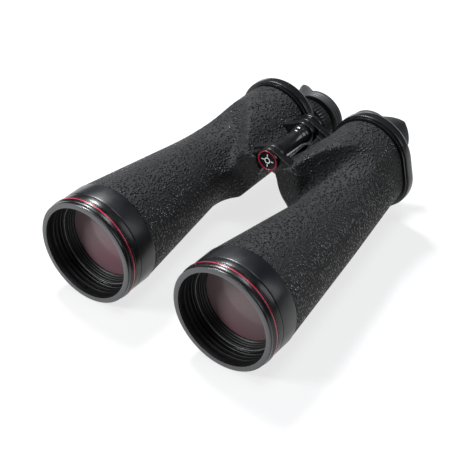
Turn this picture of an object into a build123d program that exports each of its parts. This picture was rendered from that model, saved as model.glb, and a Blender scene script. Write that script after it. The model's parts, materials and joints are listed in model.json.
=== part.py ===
from build123d import *
import math
import os

os.makedirs("parts", exist_ok=True)

# Astronomy binoculars: two 70 mm Porro barrels on one hinge, each with its own focus.
# The part stands on z = 0 with +Z up. Objectives face -Y, eyepieces face +Y.
# The user's left barrel is on +X. Stations are millimetres behind the front rim.

# ---- driving dimensions, millimetres ----
barrel_length = 242.0      # front rim to the back of the prism housing
objective_spacing = 139.2
hinge_height = 35.0        # hinge axis above the objective axes
eyepiece_x = 28.7          # eyepiece axis from the mid-plane
eyepiece_z = 7.4           # eyepiece axis above the objective axes

covering_thickness = 1.0
glue_line = 0.2
casting_wall = 2.2
fit_gap = 0.15             # between fixed round fits inside one body
running_gap = 0.3          # between faces of pieces that move past each other
shaft_gap = 0.05           # radial running fit on the hinge shaft
seat_gap = 0.1             # between faces that are screwed up to each other

lens_radius = 37.0
aperture_margin = 2.0      # the lens edge hidden by its retainer
lens_seat_station = 27.8
crown_thickness = 9.0
flint_thickness = 5.5
lens_sag = 4.0
lens_air_gap = 1.0
cell_wall = 3.4
cell_tail = 6.0
lip_margin = 1.3           # retainer's lip beyond the lens edge
retainer_margin = 2.0      # retainer's front opening beyond the lens edge
retainer_station = 18.2
retainer_thread = 3.0

hood_bore_margin = 4.56    # hood bore beyond the lens edge
hood_wall = 5.34
hood_length = 16.2
hood_thread_wall = 2.2
hood_flange_start = 6.0
hood_flange_width = 2.4
hood_flange_height = 0.7
hood_waist_drop = 1.3
red_ring_width = 1.0
red_ring_depth = 1.0
seal_radius = 0.5

collar_length = 18.3
collar_step = 0.35         # collar proud of the covering behind it
tube_neck_radius = 32.0    # covering surface where the tube meets the housing
tube_tail_radius = 18.6    # covering surface where the tube ends inside the housing
neck_length = 93.8         # from there to the housing's back
spigot_length = 8.0        # housing's thread inside the tube
spigot_wall = 2.0

# Rounded corners of the housing outline: x from an axis, z, and radius.
crown_corner = (21.3, 15.0, 35.0)      # x from the eyepiece axis
side_corner = (-10.8, -0.6, 29.5)      # x from the objective axis
foot_corner = (-13.6, -17.0, 19.0)     # x from the objective axis
inner_z = 12.0             # the corner beside the eyepiece axis
inner_radius = 17.0
housing_depth = 82.0
ridge_offset = (-4.7, -84.0, 35.0)     # a point on the sloping wall: x from the eyepiece axis, station
                                       # from the housing's back, z from the objective axis
ridge_slope_x = 1.34
ridge_slope_z = 0.35

prism_half_length = 24.5
prism_width = 23.0
prism_corner = 6.5
shelf_setback = 23.5       # shelf's front face ahead of the housing's back
shelf_thickness = 4.0
window_radius = 9.5
clamp_width = 5.0
clamp_thickness = 0.8
clamp_gap = 0.2

cover_step_margin = 2.2    # rear cover's front lip beyond the covering
cover_margin = 3.6         # rear cover's full width beyond the covering
cover_lip = 4.0
cover_depth = 14.0
cover_wall = 2.5
gasket_thickness = 0.8
screw_radius = 1.5
screw_head_radius = 2.6
screw_head_height = 1.6
screw_length = 9.0
screw_inset = 4.6

eyepiece_tube_radius = 14.35
eyepiece_wall = 1.9
eyepiece_head_margin = 4.6
eyepiece_head_length = 6.0
slide_gap = 0.25           # radial, between the eyepiece tube and its guide
guide_wall = 2.4
guide_flange_margin = 2.0
guide_flange_thickness = 3.0
focus_ring_wall = 6.7
focus_ring_width = 12.0
focus_rib_count = 48
focus_rib_depth = 0.8
focus_travel = 3.0
key_width = 3.0
key_depth = 1.2
eye_lens_edge = 5.0
field_lens_edge = 4.5
spacer_wall = 1.5
eyecup_grip = 2.6          # radial, cup's bore to its inner wall at the mouth
eyecup_wall = 3.2
eyecup_depth = 11.0
wing_rise = 10.1           # wing's tip behind the cup's mouth
wing_reach = 8.4           # wing's tip outside the cup
wing_thickness = 2.4
wing_angle = 11.0          # wing's middle above the horizontal
wing_spread = 52.0         # half angle that the wing fills round the cup

shaft_radius = 6.0
knuckle_wall = 5.95
rear_knuckle_wall = 7.45
knuckle_width = 6.0
hinge_tube_wall = 3.15
rear_arm_setback = 29.5    # rear lug's front face ahead of the housing's back
arm_hinge_radius = 6.7
arm_top_corner = (9.0, 26.0, 9.6)      # offset from the crown corner's inner side, z, radius
arm_low_corner = (10.0, 9.0, 8.5)
cap_radius = 10.6
cap_thickness = 2.4
cap_proud = 1.3            # cap's face ahead of the housing's front
cap_ring_inset = 1.1
cap_ring_width = 1.0
cap_ring_depth = 0.6
socket_radius = 2.55
socket_depth = 12.0
cap_spigot_radius = 4.2
cap_spigot_length = 2.6
nut_radius = 12.4
nut_thickness = 4.0
nut_slot_width = 2.0
nut_slot_depth = 1.5

# ---- sizes and places worked out from them ----
skin = covering_thickness + glue_line
objective_x = objective_spacing / 2
clear_aperture_radius = lens_radius - aperture_margin
lip_radius = lens_radius + lip_margin
retainer_radius = lens_radius + retainer_margin
cell_radius = lens_radius + cell_wall
tube_bore_radius = cell_radius + fit_gap
hood_thread_radius = tube_bore_radius + hood_thread_wall
hood_bore_radius = lens_radius + hood_bore_margin
hood_rim_radius = hood_bore_radius + hood_wall
hood_flange_radius = hood_rim_radius + hood_flange_height
hood_waist_radius = hood_rim_radius - hood_waist_drop
red_ring_station = hood_flange_start + hood_flange_width / 2
collar_radius = hood_rim_radius
tube_front_radius = collar_radius - collar_step
collar_end = hood_length + collar_length
lens_back = lens_seat_station + crown_thickness + lens_air_gap + flint_thickness

tube_neck_station = barrel_length - neck_length
housing_front_station = barrel_length - housing_depth
shelf_station = barrel_length - shelf_setback
crown_circle = (eyepiece_x + crown_corner[0], crown_corner[1], crown_corner[2])
side_circle = (objective_x + side_corner[0], side_corner[1], side_corner[2])
foot_circle = (objective_x + foot_corner[0], foot_corner[1], foot_corner[2])
inner_circle = (eyepiece_x, inner_z, inner_radius)
cover_start = barrel_length + gasket_thickness
cover_end = cover_start + cover_depth

knuckle_radius = shaft_radius + shaft_gap + knuckle_wall
rear_knuckle_radius = shaft_radius + shaft_gap + rear_knuckle_wall
hinge_tube_radius = shaft_radius + shaft_gap + hinge_tube_wall
cap_station = housing_front_station - cap_proud
shaft_start = cap_station + cap_thickness
first_knuckle = shaft_start + running_gap
second_knuckle = first_knuckle + knuckle_width + running_gap
front_arm_depth = second_knuckle + knuckle_width + running_gap - housing_front_station
rear_arm_station = barrel_length - rear_arm_setback
third_knuckle = rear_arm_station + running_gap
fourth_knuckle = third_knuckle + knuckle_width + running_gap
rear_arm_depth = fourth_knuckle + knuckle_width - rear_arm_station
nut_station = fourth_knuckle + knuckle_width + running_gap
inner_side = crown_circle[0] - crown_circle[2]
cap_ring_radius = cap_radius - cap_ring_inset

guide_bore_radius = eyepiece_tube_radius + slide_gap
guide_radius = guide_bore_radius + guide_wall
guide_flange_radius = guide_radius + guide_flange_margin
focus_ring_radius = guide_radius + running_gap + focus_ring_wall
eyepiece_bore_radius = eyepiece_tube_radius - eyepiece_wall
lens_edge_radius = eyepiece_bore_radius - fit_gap
eyepiece_head_radius = eyepiece_tube_radius + eyepiece_head_margin
eyecup_seat_radius = eyepiece_head_radius + running_gap
eyecup_radius = eyecup_seat_radius + eyecup_grip + eyecup_wall
ring_station = cover_end + guide_flange_thickness + running_gap
ring_end = ring_station + focus_ring_width
head_station = ring_end + focus_travel + running_gap
head_end = head_station + eyepiece_head_length
tube_front = cover_end - cover_wall + focus_travel + running_gap
field_lens_start = tube_front + 0.7
field_lens_end = field_lens_start + field_lens_edge
eye_lens_start = head_station - 3.0
eye_lens_end = eye_lens_start + eye_lens_edge
cup_station = head_station + 0.5
cup_end = cup_station + eyecup_depth
wing_tip = cup_end + wing_rise

overall_length = wing_tip
rest_height = hood_flange_radius
front_y = -overall_length / 2


def section(station):
    """The plane across the barrels at a station, with x to the right and z up."""
    return Plane(origin=(0, front_y + station, rest_height), x_dir=(1, 0, 0), z_dir=(0, -1, 0))


def turning_plane(x, z):
    """The plane of a turned piece's half profile: radius along x, station along y."""
    return Plane(origin=(x, front_y, rest_height + z), x_dir=(1, 0, 0), z_dir=(0, 0, 1))


def turned(points, x, z):
    """A piece turned about the line through (x, z), from (radius, station) points."""
    with BuildPart() as piece:
        with BuildSketch(turning_plane(x, z)):
            with BuildLine():
                Polyline(*points, close=True)
            make_face()
        revolve(axis=Axis((x, front_y, rest_height + z), (0, 1, 0)))
    return piece.part


def ring(outer, inner, start, end, x, z):
    """A plain turned ring between two stations."""
    return turned([(inner, start), (outer, start), (outer, end), (inner, end)], x, z)


def save(name, solid):
    """Label one finished piece and write it."""
    solid.label = name
    export_step(solid, f"parts/{name}.step")


def save_pair(name, solid):
    """Write the left piece and its mirror image on the right."""
    save("left_" + name, solid)
    with BuildPart() as other:
        add(solid.mirror(Plane.YZ))
    save("right_" + name, other.part)


# ---- outer forms that several pieces share ----
def tube_radius(station):
    """The covering's radius on the tapered tube."""
    if station <= tube_neck_station:
        share = (station - collar_end) / (tube_neck_station - collar_end)
        return tube_front_radius + share * (tube_neck_radius - tube_front_radius)
    share = (station - tube_neck_station) / (barrel_length - tube_neck_station)
    return tube_neck_radius + share * (tube_tail_radius - tube_neck_radius)


def tube_form(inset, start, end):
    """The solid tapered tube, its surface inset from the covering's."""
    stations = [start]
    if start < tube_neck_station < end:
        stations.append(tube_neck_station)
    stations.append(end)
    points = [(0, start)]
    for station in stations:
        points.append((tube_radius(station) - inset, station))
    points.append((0, end))
    return turned(points, objective_x, 0)


def housing_outline(inset):
    """The rounded housing outline in the current sketch, inset from the covering's."""
    for x, z, radius in (crown_circle, side_circle, foot_circle, inner_circle):
        with Locations((x, z)):
            Circle(radius - inset)
    make_hull()


def cover_outline(margin):
    """The rear cover's outline: the housing's with a margin and a land for the eyepiece."""
    for x, z, radius in (crown_circle, side_circle, foot_circle, inner_circle,
                         (eyepiece_x, eyepiece_z, guide_flange_radius - 2.0)):
        with Locations((x, z)):
            Circle(radius + margin)
    make_hull()


def sloping_wall(inset):
    """The plane of the housing's sloping front wall, its normal towards the rear."""
    normal = Vector(-ridge_slope_x, 1, -ridge_slope_z).normalized()
    x, station, z = ridge_offset
    point = Vector(eyepiece_x + x, front_y + barrel_length + station, rest_height + z) + normal * inset
    return Plane(origin=point, z_dir=normal)


def housing_form(inset, end):
    """The solid prism housing behind its sloping front wall."""
    start = housing_front_station + inset
    with BuildPart() as form:
        with BuildSketch(section(start)):
            housing_outline(inset)
        extrude(amount=start - end)
        split(bisect_by=sloping_wall(inset), keep=Keep.TOP)
    return form.part


def body_form(inset, start, end):
    """Tube and housing together, the shape that the covering wraps."""
    with BuildPart() as form:
        add(tube_form(inset, start, end))
        add(housing_form(inset, end))
    return form.part


# ---- objective end ----
def objective_hood():
    groove_start = red_ring_station - red_ring_width / 2 - 0.05
    groove_end = red_ring_station + red_ring_width / 2 + 0.05
    groove_floor = hood_flange_radius - red_ring_depth
    flange_end = hood_flange_start + hood_flange_width
    thread_radius = hood_thread_radius - fit_gap
    return turned([
        (hood_bore_radius, 0),
        (hood_rim_radius - 0.6, 0),
        (hood_rim_radius, 0.6),
        (hood_rim_radius, hood_flange_start - 0.8),
        (hood_flange_radius, hood_flange_start),
        (hood_flange_radius, groove_start),
        (groove_floor, groove_start),
        (groove_floor, groove_end),
        (hood_flange_radius, groove_end),
        (hood_flange_radius, flange_end),
        (hood_waist_radius, flange_end + 1.6),
        (hood_waist_radius, hood_length - 0.4),
        (hood_waist_radius - 0.5, hood_length),
        (thread_radius, hood_length),
        (thread_radius, retainer_station),
        (hood_bore_radius, retainer_station),
    ], objective_x, 0)


def hood_red_ring():
    return ring(hood_flange_radius - 0.05, hood_flange_radius - red_ring_depth + fit_gap,
                red_ring_station - red_ring_width / 2, red_ring_station + red_ring_width / 2,
                objective_x, 0)


def objective_retainer():
    start = retainer_station + seat_gap
    end = lens_seat_station - 0.7
    return turned([
        (retainer_radius, start),
        (cell_radius, start),
        (cell_radius, retainer_station + retainer_thread),
        (lip_radius, retainer_station + retainer_thread),
        (lip_radius, end),
        (clear_aperture_radius, end),
        (clear_aperture_radius, end - 1.0),
    ], objective_x, 0)


def bulge_at_half(radius, height):
    """How much of a spherical bulge is left halfway out from its middle."""
    sphere = (radius ** 2 + height ** 2) / (2 * height)
    return height - sphere + math.sqrt(sphere ** 2 - radius ** 2 / 4)


def front_lens():
    seat = lens_seat_station
    rear = seat + crown_thickness
    back_bulge = lens_sag / 2
    with BuildPart() as lens:
        with BuildSketch(turning_plane(objective_x, 0)):
            with BuildLine():
                Line((0, seat - lens_sag), (0, rear + back_bulge))
                ThreePointArc((0, rear + back_bulge),
                              (lens_radius / 2, rear + bulge_at_half(lens_radius, back_bulge)),
                              (lens_radius, rear))
                Line((lens_radius, rear), (lens_radius, seat))
                ThreePointArc((lens_radius, seat),
                              (lens_radius / 2, seat - bulge_at_half(lens_radius, lens_sag)),
                              (0, seat - lens_sag))
            make_face()
        revolve(axis=Axis((objective_x, front_y, rest_height), (0, 1, 0)))
    return lens.part


def rear_lens():
    front = lens_seat_station + crown_thickness + lens_air_gap
    rear = front + flint_thickness
    dish = lens_sag / 2 + 0.1
    with BuildPart() as lens:
        with BuildSketch(turning_plane(objective_x, 0)):
            with BuildLine():
                Line((0, front + dish), (0, rear))
                Line((0, rear), (lens_radius, rear))
                Line((lens_radius, rear), (lens_radius, front))
                ThreePointArc((lens_radius, front),
                              (lens_radius / 2, front + bulge_at_half(lens_radius, dish)),
                              (0, front + dish))
            make_face()
        revolve(axis=Axis((objective_x, front_y, rest_height), (0, 1, 0)))
    return lens.part


def lens_spacer():
    start = lens_seat_station + crown_thickness + 0.15
    return ring(lens_radius, clear_aperture_radius + 1.2, start, start + lens_air_gap - 0.2,
                objective_x, 0)


def objective_cell():
    start = retainer_station + retainer_thread + seat_gap
    back = lens_back + seat_gap
    return turned([
        (lip_radius + fit_gap, start),
        (cell_radius, start),
        (cell_radius, back + cell_tail),
        (clear_aperture_radius - 1.0, back + cell_tail),
        (clear_aperture_radius, back),
        (lens_radius + fit_gap, back),
        (lens_radius + fit_gap, lens_seat_station + 0.2),
        (lip_radius + fit_gap, lens_seat_station + 0.2),
    ], objective_x, 0)


def objective_seal():
    seat = retainer_station - seal_radius - 0.4
    with BuildPart() as seal:
        with BuildSketch(turning_plane(objective_x, 0)):
            with Locations((hood_thread_radius + seal_radius + fit_gap, seat)):
                Circle(seal_radius)
        revolve(axis=Axis((objective_x, front_y, rest_height), (0, 1, 0)))
    return seal.part


def objective_tube():
    inner = skin + casting_wall
    seal_groove = hood_thread_radius + 2 * (seal_radius + fit_gap)
    step_radius = tube_bore_radius - cell_wall + 0.4
    shoulder = lens_back + seat_gap + cell_tail + seat_gap
    step_end = shoulder + 8.0
    neck = tube_neck_station
    return turned([
        (seal_groove, hood_length + seat_gap),
        (collar_radius - 1.0, hood_length + seat_gap),
        (collar_radius - 0.2, hood_length + 1.0),
        (collar_radius, collar_end - 0.5),
        (collar_radius - 0.5, collar_end),
        (tube_radius(collar_end) - skin, collar_end),
        (tube_radius(neck) - skin, neck),
        (tube_radius(neck) - inner, neck),
        (min(tube_radius(step_end) - inner, step_radius), step_end),
        (step_radius, shoulder),
        (tube_bore_radius, shoulder),
        (tube_bore_radius, retainer_station + seat_gap),
        (hood_thread_radius, retainer_station + seat_gap),
        (hood_thread_radius, retainer_station - 0.1),
        (seal_groove, retainer_station - 0.3),
    ], objective_x, 0)


# ---- prism housing and its hinge lugs ----
def arm_outline(margin):
    """The outline of a hinge lug's web in the current sketch, grown by a margin."""
    with Locations((0, hinge_height)):
        Circle(arm_hinge_radius + margin)
    for x, z, radius in (arm_top_corner, arm_low_corner):
        with Locations((inner_side + x, z)):
            Circle(radius + margin)
    make_hull()


def lug(web_station, web_depth, knuckle_station, radius):
    """One hinge lug: a web cut back round the hinge, and a knuckle bored for the shaft."""
    with BuildPart() as arm:
        with BuildSketch(section(web_station)):
            arm_outline(0)
            with Locations((0, hinge_height)):
                Circle(radius + 2 * running_gap, mode=Mode.SUBTRACT)
        extrude(amount=-web_depth)
        with BuildSketch(section(knuckle_station)):
            arm_outline(0)
            with Locations((0, hinge_height)):
                Circle(radius)
                Circle(shaft_radius + shaft_gap, mode=Mode.SUBTRACT)
        extrude(amount=-knuckle_width)
    return arm.part


def prism_housing(front_knuckle, rear_knuckle):
    """The casting: neck, sloping front wall, open back, and two hinge lugs."""
    inner = skin + casting_wall
    start = tube_neck_station + 0.05
    bore = tube_radius(start) - inner
    with BuildPart() as casting:
        add(body_form(skin, start, barrel_length))
        add(lug(housing_front_station, front_arm_depth, front_knuckle, knuckle_radius))
        add(lug(rear_arm_station, rear_arm_depth, rear_knuckle, rear_knuckle_radius))
        add(body_form(inner, start - 0.5, barrel_length + 1), mode=Mode.SUBTRACT)
        add(turned([
            (bore - spigot_wall, start - spigot_length),
            (bore - fit_gap, start - spigot_length),
            (bore - fit_gap, start),
            (bore + 1.0, start),
            (bore + 1.0, start + 2.0),
            (bore - spigot_wall, start + 2.0),
        ], objective_x, 0))
    return casting.part


def body_covering():
    """The pebbled skin, cut away round the hinge lugs."""
    start = collar_end + 0.2
    end = barrel_length - 0.3
    clear = 0.4
    with BuildPart() as hide:
        add(body_form(0, start, end))
        add(body_form(covering_thickness, start - 1, end + 1), mode=Mode.SUBTRACT)
        for station, depth in ((housing_front_station, front_arm_depth),
                               (rear_arm_station, rear_arm_depth)):
            with BuildSketch(section(station - clear)):
                arm_outline(clear)
            extrude(amount=-depth - 2 * clear, mode=Mode.SUBTRACT)
    return hide.part


# ---- prisms ----
def prism_points():
    """The middles and directions of the two prisms, in x and z."""
    start = Vector(objective_x, 0)
    end = Vector(eyepiece_x, eyepiece_z)
    half = (end - start) * 0.5
    middle = start + half
    across = Vector(-half.Y, half.X).normalized()
    if across.Y < 0:
        across = across * -1
    turn = middle + across * half.length
    return (start + turn) * 0.5, (turn - start).normalized(), (turn + end) * 0.5, (end - turn).normalized()


def prism(middle, along, station, depth_sign):
    """A right-angled prism with its long face on a station and bevelled corners."""
    origin = Vector(middle.X, front_y + station, rest_height + middle.Y)
    x_dir = Vector(along.X, 0, along.Y)
    side = Vector(0, 1, 0).cross(x_dir)
    plane = Plane(origin=origin, x_dir=x_dir, z_dir=side)
    sign = depth_sign if plane.y_dir.Y > 0 else -depth_sign
    face = Plane(origin=origin, x_dir=x_dir, z_dir=(0, 1, 0))
    with BuildPart() as glass:
        with BuildSketch(plane):
            with BuildLine():
                Polyline((-prism_half_length, 0), (prism_half_length, 0),
                         (0, sign * prism_half_length), close=True)
            make_face()
        extrude(amount=prism_width / 2, both=True)
        with BuildSketch(face):
            Rectangle(2 * prism_half_length, prism_width)
            chamfer(vertices(), prism_corner)
        extrude(amount=prism_half_length + 1, both=True, mode=Mode.INTERSECT)
    return glass.part


def prism_clamps(first, first_dir, second, second_dir):
    """A spring strap over the apex of each prism, with feet on the shelf."""
    straps = []
    height = prism_half_length + clamp_gap
    for middle, along, station, sign in ((second, second_dir, shelf_station, -1),
                                         (first, first_dir, shelf_station + shelf_thickness, 1)):
        origin = Vector(middle.X, front_y + station, rest_height + middle.Y)
        x_dir = Vector(along.X, 0, along.Y)
        side = Vector(0, 1, 0).cross(x_dir)
        plane = Plane(origin=origin, x_dir=side, z_dir=x_dir)
        up = sign if plane.y_dir.Y > 0 else -sign
        reach = prism_width / 2 + clamp_gap
        outer = reach + clamp_thickness
        with BuildPart() as strap:
            with BuildSketch(plane):
                with BuildLine():
                    Polyline((-outer, 0), (-outer, up * (height + clamp_thickness)),
                             (outer, up * (height + clamp_thickness)), (outer, 0),
                             (reach, 0), (reach, up * height), (-reach, up * height), (-reach, 0),
                             close=True)
                make_face()
            extrude(amount=clamp_width / 2, both=True)
        straps.append(strap.part)
    with BuildPart() as clamps:
        add(straps[0])
        add(straps[1])
    return clamps.part


def prism_shelf(first, second):
    """The plate that the prisms sit on, with a window for each light path."""
    inset = skin + casting_wall + 0.2
    windows = ((objective_x, 0), (eyepiece_x, eyepiece_z), (2 * first.X - objective_x, 2 * first.Y))
    with BuildPart() as shelf:
        with BuildSketch(section(shelf_station)):
            housing_outline(inset)
            with Locations(*windows):
                Circle(window_radius, mode=Mode.SUBTRACT)
        extrude(amount=-shelf_thickness)
        split(bisect_by=sloping_wall(inset), keep=Keep.TOP)
    return shelf.part


# ---- rear cover ----
def cover_screw_points():
    """Four places for screws just inside the rear cover's edge."""
    points = []
    for (x, z, radius), angle in ((crown_circle, 140), (crown_circle, 50), (side_circle, -10),
                                  (foot_circle, 250)):
        turn = math.radians(angle)
        reach = radius - screw_inset
        points.append((x + reach * math.cos(turn), z + reach * math.sin(turn)))
    return points


def cover_gasket():
    with BuildPart() as gasket:
        with BuildSketch(section(barrel_length)):
            housing_outline(skin)
        extrude(amount=-gasket_thickness)
        with BuildSketch(section(barrel_length - 1)):
            housing_outline(skin + casting_wall)
        extrude(amount=-gasket_thickness - 2, mode=Mode.SUBTRACT)
    return gasket.part


def rear_cover():
    lip_end = cover_start + cover_lip
    with BuildPart() as cover:
        with BuildSketch(section(cover_start)):
            cover_outline(cover_step_margin)
        extrude(amount=-cover_lip)
        with BuildSketch(section(lip_end)):
            cover_outline(cover_margin)
        extrude(amount=lip_end - cover_end)
        rear = cover.faces().sort_by(Axis.Y)[-1]
        chamfer(rear.edges(), cover_wall * 0.6)
        with BuildSketch(section(cover_start)):
            housing_outline(skin + casting_wall)
        extrude(amount=cover_wall - cover_depth, mode=Mode.SUBTRACT)
        with BuildSketch(section(cover_end - cover_wall - 1)):
            with Locations((eyepiece_x, eyepiece_z)):
                Circle(guide_bore_radius + 1.0)
        extrude(amount=-cover_wall - 2, mode=Mode.SUBTRACT)
        with BuildSketch(section(cover_end - screw_length - 1)):
            with Locations(*cover_screw_points()):
                Circle(screw_radius + fit_gap)
        extrude(amount=-screw_length - 2, mode=Mode.SUBTRACT)
    return cover.part


def cover_screws():
    """Pan-headed screws, heads on the cover's back face."""
    with BuildPart() as screws:
        with BuildSketch(section(cover_end)):
            with Locations(*cover_screw_points()):
                Circle(screw_head_radius)
        extrude(amount=-screw_head_height)
        with BuildSketch(section(cover_end)):
            with Locations(*cover_screw_points()):
                Circle(screw_radius)
        extrude(amount=screw_length)
    return screws.part


# ---- eyepiece ----
def key_place(plane_station):
    """The middle of the key at the bottom of the guide's bore, as a sketch plane and a point."""
    return section(plane_station), (eyepiece_x, eyepiece_z - guide_bore_radius + key_depth / 2 - 0.1)


def eyepiece_guide():
    """The fixed sleeve: a flange on the cover, and a bore with a key for the eyepiece."""
    flange_end = cover_end + guide_flange_thickness
    plane, point = key_place(cover_end)
    with BuildPart() as guide:
        add(turned([
            (guide_bore_radius, cover_end),
            (guide_flange_radius, cover_end),
            (guide_flange_radius, flange_end),
            (guide_radius, flange_end),
            (guide_radius, ring_end),
            (guide_bore_radius, ring_end),
        ], eyepiece_x, eyepiece_z))
        with BuildSketch(plane):
            with Locations(point):
                Rectangle(key_width - 0.4, key_depth + 0.2)
        extrude(amount=cover_end - ring_end)
    return guide.part


def focus_ring():
    """The ribbed ring that the user turns."""
    rib_root = focus_ring_radius - focus_rib_depth
    rib_margin = 1.2
    with BuildPart() as knob:
        add(ring(rib_root, guide_radius + running_gap, ring_station, ring_end, eyepiece_x, eyepiece_z))
        with BuildSketch(section(ring_station + rib_margin)):
            with Locations((eyepiece_x, eyepiece_z)):
                with PolarLocations(rib_root, focus_rib_count):
                    Rectangle(2 * focus_rib_depth, math.pi * focus_ring_radius / focus_rib_count)
        extrude(amount=2 * rib_margin - focus_ring_width)
    return knob.part


def eyepiece_tube():
    """The sliding eyepiece barrel with its head, keyed against turning."""
    plane, point = key_place(tube_front)
    with BuildPart() as tube:
        add(turned([
            (eyepiece_bore_radius, tube_front),
            (eyepiece_tube_radius, tube_front),
            (eyepiece_tube_radius, head_station),
            (eyepiece_head_radius, head_station),
            (eyepiece_head_radius, head_end),
            (eyepiece_bore_radius, head_end),
        ], eyepiece_x, eyepiece_z))
        with BuildSketch(plane):
            with Locations(point):
                Rectangle(key_width, key_depth + 0.7)
        extrude(amount=tube_front - head_station, mode=Mode.SUBTRACT)
    return tube.part


def lens_disc(radius, edge_start, edge_end, front_bulge, rear_bulge):
    """A turned eyepiece lens with a bulge on each face."""
    with BuildPart() as lens:
        with BuildSketch(turning_plane(eyepiece_x, eyepiece_z)):
            with BuildLine():
                Line((0, edge_start - front_bulge), (0, edge_end + rear_bulge))
                ThreePointArc((0, edge_end + rear_bulge),
                              (radius / 2, edge_end + bulge_at_half(radius, rear_bulge)),
                              (radius, edge_end))
                Line((radius, edge_end), (radius, edge_start))
                ThreePointArc((radius, edge_start),
                              (radius / 2, edge_start - bulge_at_half(radius, front_bulge)),
                              (0, edge_start - front_bulge))
            make_face()
        revolve(axis=Axis((eyepiece_x, front_y, rest_height + eyepiece_z), (0, 1, 0)))
    return lens.part


def eyepiece_spacer():
    return ring(lens_edge_radius, lens_edge_radius - spacer_wall, field_lens_end + 0.4,
                eye_lens_start - 0.3, eyepiece_x, eyepiece_z)


def eyepiece_retainer():
    return ring(lens_edge_radius, lens_edge_radius - spacer_wall, eye_lens_end + 0.4, head_end,
                eyepiece_x, eyepiece_z)


def eyecup():
    """The rubber cup with a wing on the temple side."""
    mouth_radius = eyecup_radius - eyecup_wall
    stop_radius = eyecup_seat_radius - 1.8
    grip_end = head_end + running_gap
    with BuildPart() as cup:
        add(turned([
            (eyecup_seat_radius, cup_station),
            (eyecup_radius - 1.0, cup_station),
            (eyecup_radius, cup_station + 1.0),
            (eyecup_radius, cup_end - 0.8),
            (eyecup_radius - 0.8, cup_end),
            (mouth_radius, cup_end),
            (stop_radius, grip_end + 1.2),
            (stop_radius, grip_end),
            (eyecup_seat_radius, grip_end),
        ], eyepiece_x, eyepiece_z))
        add(eyecup_wing())
    return cup.part


def eyecup_wing():
    """The wing: a flared sector of a cone that rises to a tip behind the temple."""
    mouth_radius = eyecup_radius - eyecup_wall
    root = cup_end - 2.0
    tip_radius = eyecup_radius + wing_reach
    shell = turned([
        (mouth_radius + 0.2, root),
        (eyecup_radius, root),
        (tip_radius, wing_tip),
        (tip_radius - wing_thickness, wing_tip),
        (mouth_radius + 0.2, cup_end - 0.2),
    ], eyepiece_x, eyepiece_z)
    tilt = math.radians(wing_angle)
    middle = Vector(math.cos(tilt), 0, math.sin(tilt))
    base = root - 1.0
    origin = Vector(eyepiece_x, front_y + base, rest_height + eyepiece_z)
    side = Plane(origin=origin, x_dir=middle, z_dir=middle.cross(Vector(0, 1, 0)))
    rise = wing_tip - base
    start = mouth_radius * math.cos(math.radians(wing_spread))
    with BuildPart() as wing:
        add(shell)
        with BuildSketch(side):
            with BuildLine():
                Polyline((start, 0), (tip_radius - 3.0, rise), (2 * tip_radius, rise),
                         (2 * tip_radius, 0), close=True)
            make_face()
        extrude(amount=2 * tip_radius, both=True, mode=Mode.INTERSECT)
    return wing.part


# ---- hinge ----
def hinge_shaft():
    """The shaft through all four knuckles, recessed in front for the cap and tapped for a tripod screw."""
    recess_radius = cap_spigot_radius + fit_gap
    recess_end = shaft_start + cap_spigot_length + running_gap
    return turned([
        (0, recess_end + socket_depth),
        (socket_radius, recess_end + socket_depth),
        (socket_radius, recess_end),
        (recess_radius, recess_end),
        (recess_radius, shaft_start),
        (shaft_radius, shaft_start),
        (shaft_radius, nut_station + nut_thickness),
        (0, nut_station + nut_thickness),
    ], 0, hinge_height)


def hinge_tube():
    """The sleeve round the shaft between the lugs."""
    return ring(hinge_tube_radius, shaft_radius + shaft_gap, second_knuckle + knuckle_width + running_gap,
                third_knuckle - running_gap, 0, hinge_height)


def hinge_cap():
    """The cap over the tripod socket, with a groove for its red ring."""
    groove_floor = cap_station + cap_ring_depth
    groove_inner = cap_ring_radius - cap_ring_width - 0.05
    groove_outer = cap_ring_radius + 0.05
    return turned([
        (0, cap_station),
        (groove_inner, cap_station),
        (groove_inner, groove_floor),
        (groove_outer, groove_floor),
        (groove_outer, cap_station),
        (cap_radius - 0.3, cap_station),
        (cap_radius, cap_station + 0.3),
        (cap_radius, shaft_start),
        (cap_spigot_radius, shaft_start),
        (cap_spigot_radius, shaft_start + cap_spigot_length),
        (0, shaft_start + cap_spigot_length),
    ], 0, hinge_height)


def hinge_nut():
    """The slotted ring nut that holds the knuckles together."""
    with BuildPart() as nut:
        add(ring(nut_radius, shaft_radius + shaft_gap, nut_station, nut_station + nut_thickness,
                 0, hinge_height))
        with BuildSketch(section(nut_station + nut_thickness - nut_slot_depth)):
            with Locations((0, hinge_height)):
                with PolarLocations((nut_radius + shaft_radius) / 2 + 1.5, 2):
                    Rectangle(nut_radius - shaft_radius, nut_slot_width)
        extrude(amount=-nut_slot_depth - 1, mode=Mode.SUBTRACT)
    return nut.part


# ---- build and write every piece ----
rear_prism_middle, rear_prism_dir, front_prism_middle, front_prism_dir = prism_points()

save_pair("objective_hood", objective_hood())
save_pair("hood_red_ring", hood_red_ring())
save_pair("objective_retainer", objective_retainer())
save_pair("front_objective_lens", front_lens())
save_pair("lens_spacer", lens_spacer())
save_pair("rear_objective_lens", rear_lens())
save_pair("objective_cell", objective_cell())
save_pair("objective_seal", objective_seal())
save_pair("objective_tube", objective_tube())
save_pair("body_covering", body_covering())
save_pair("prism_shelf", prism_shelf(rear_prism_middle, front_prism_middle))
save_pair("front_prism", prism(front_prism_middle, front_prism_dir, shelf_station, -1))
save_pair("rear_prism", prism(rear_prism_middle, rear_prism_dir, shelf_station + shelf_thickness, 1))
save_pair("prism_clamps", prism_clamps(rear_prism_middle, rear_prism_dir,
                                       front_prism_middle, front_prism_dir))
save_pair("cover_gasket", cover_gasket())
save_pair("rear_cover", rear_cover())
save_pair("cover_screws", cover_screws())
save_pair("eyepiece_guide", eyepiece_guide())
save_pair("focus_ring", focus_ring())
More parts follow.
